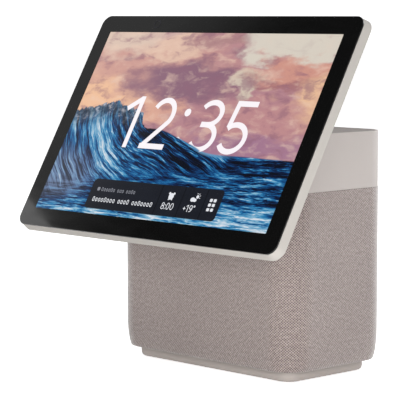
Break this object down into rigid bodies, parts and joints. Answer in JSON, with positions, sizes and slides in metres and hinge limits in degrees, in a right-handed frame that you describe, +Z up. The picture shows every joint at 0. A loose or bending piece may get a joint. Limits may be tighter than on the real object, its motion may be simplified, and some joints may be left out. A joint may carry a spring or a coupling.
{
  "type": "smart display",
  "caption": "Tilting touch screen on a fabric-covered loudspeaker base, with a camera shutter and keys on its top edge.",
  "frame": {"origin": "middle of the base's footprint, on the table", "axes": "+Z up, the screen faces -Y, +X to the right as seen from in front of the screen"},
  "size_m": [0.2448, 0.1506, 0.2326],
  "materials": {
    "glass": "gloss black cover glass",
    "lens": "coated lens",
    "frame": "satin warm grey",
    "shell": "satin warm grey",
    "panel": "fine matt taupe",
    "plinth": "satin warm grey",
    "fabric": "knitted acoustic fabric",
    "rubber": "matt",
    "dark_plastic": "matt moulded",
    "white_film": "diffuser film",
    "steel": "zinc plated",
    "aluminium": "plain",
    "magnet": "ferrite",
    "board": "solder mask",
    "cone": "pulp cone"
  },
  "bodies": {
    "base": {"foot_pad": "rubber", "plinth": "plinth", "base_screw_1": "steel", "base_screw_2": "steel", "base_screw_3": "steel", "base_screw_4": "steel", "floor_plate": "dark_plastic", "ballast_plate": "steel", "speaker_box": "dark_plastic", "speaker_lid": "dark_plastic", "woofer_left_basket": "steel", "woofer_left_surround": "rubber", "woofer_left_cone": "cone", "woofer_left_magnet": "magnet", "woofer_right_basket": "steel", "woofer_right_surround": "rubber", "woofer_right_cone": "cone", "woofer_right_magnet": "magnet", "tweeter_left": "dark_plastic", "tweeter_right": "dark_plastic", "passive_radiator_left": "cone", "passive_radiator_right": "cone", "main_board": "board", "heat_sink": "aluminium", "power_board": "board", "dc_jack": "dark_plastic", "inlet_bezel": "dark_plastic", "wifi_antenna_left": "board", "wifi_antenna_right": "board", "fabric_sleeve": "fabric", "grille_shell": "dark_plastic", "rear_wall": "dark_plastic", "top_cap": "shell", "top_panel": "panel", "hinge_bracket_left": "steel", "hinge_bracket_right": "steel", "base_cable": "dark_plastic"},
    "display": {"cover_glass": "glass", "display_frame": "frame", "display_rear_cover": "frame", "lcd_panel": "dark_plastic", "backlight_unit": "white_film", "mid_plate": "aluminium", "driver_board": "board", "mic_board": "board", "key_board": "board", "camera_module": "dark_plastic", "camera_lens": "lens", "hinge_leaf": "dark_plastic", "hinge_shaft": "steel", "friction_washer_left": "steel", "friction_washer_right": "steel", "hinge_nut_left": "steel", "hinge_nut_right": "steel", "display_cable": "dark_plastic"},
    "shutter": {"camera_shutter": "dark_plastic"},
    "volume_down": {"volume_down_button": "frame"},
    "volume_up": {"volume_up_button": "frame"},
    "mic_mute": {"mic_mute_button": "frame"}
  },
  "joints": [
    {"name": "display_tilt", "type": "hinge", "parent": "base", "child": "display", "pos_m": [0, -0.0341, 0.14645], "axis": [-1, 0, 0], "range_deg": [-30, 45]},
    {"name": "shutter_slide", "type": "slide", "parent": "display", "child": "shutter", "axis": [-1, 0, 0], "range_m": [0, 0.008]},
    {"name": "volume_down_press", "type": "slide", "parent": "display", "child": "volume_down", "axis": [0, -0.5, -0.866], "range_m": [0, 0.0006], "stiffness_N_per_m": 800},
    {"name": "volume_up_press", "type": "slide", "parent": "display", "child": "volume_up", "axis": [0, -0.5, -0.866], "range_m": [0, 0.0006], "stiffness_N_per_m": 800},
    {"name": "mic_mute_press", "type": "slide", "parent": "display", "child": "mic_mute", "axis": [0, -0.5, -0.866], "range_m": [0, 0.0006], "stiffness_N_per_m": 800}
  ]
}
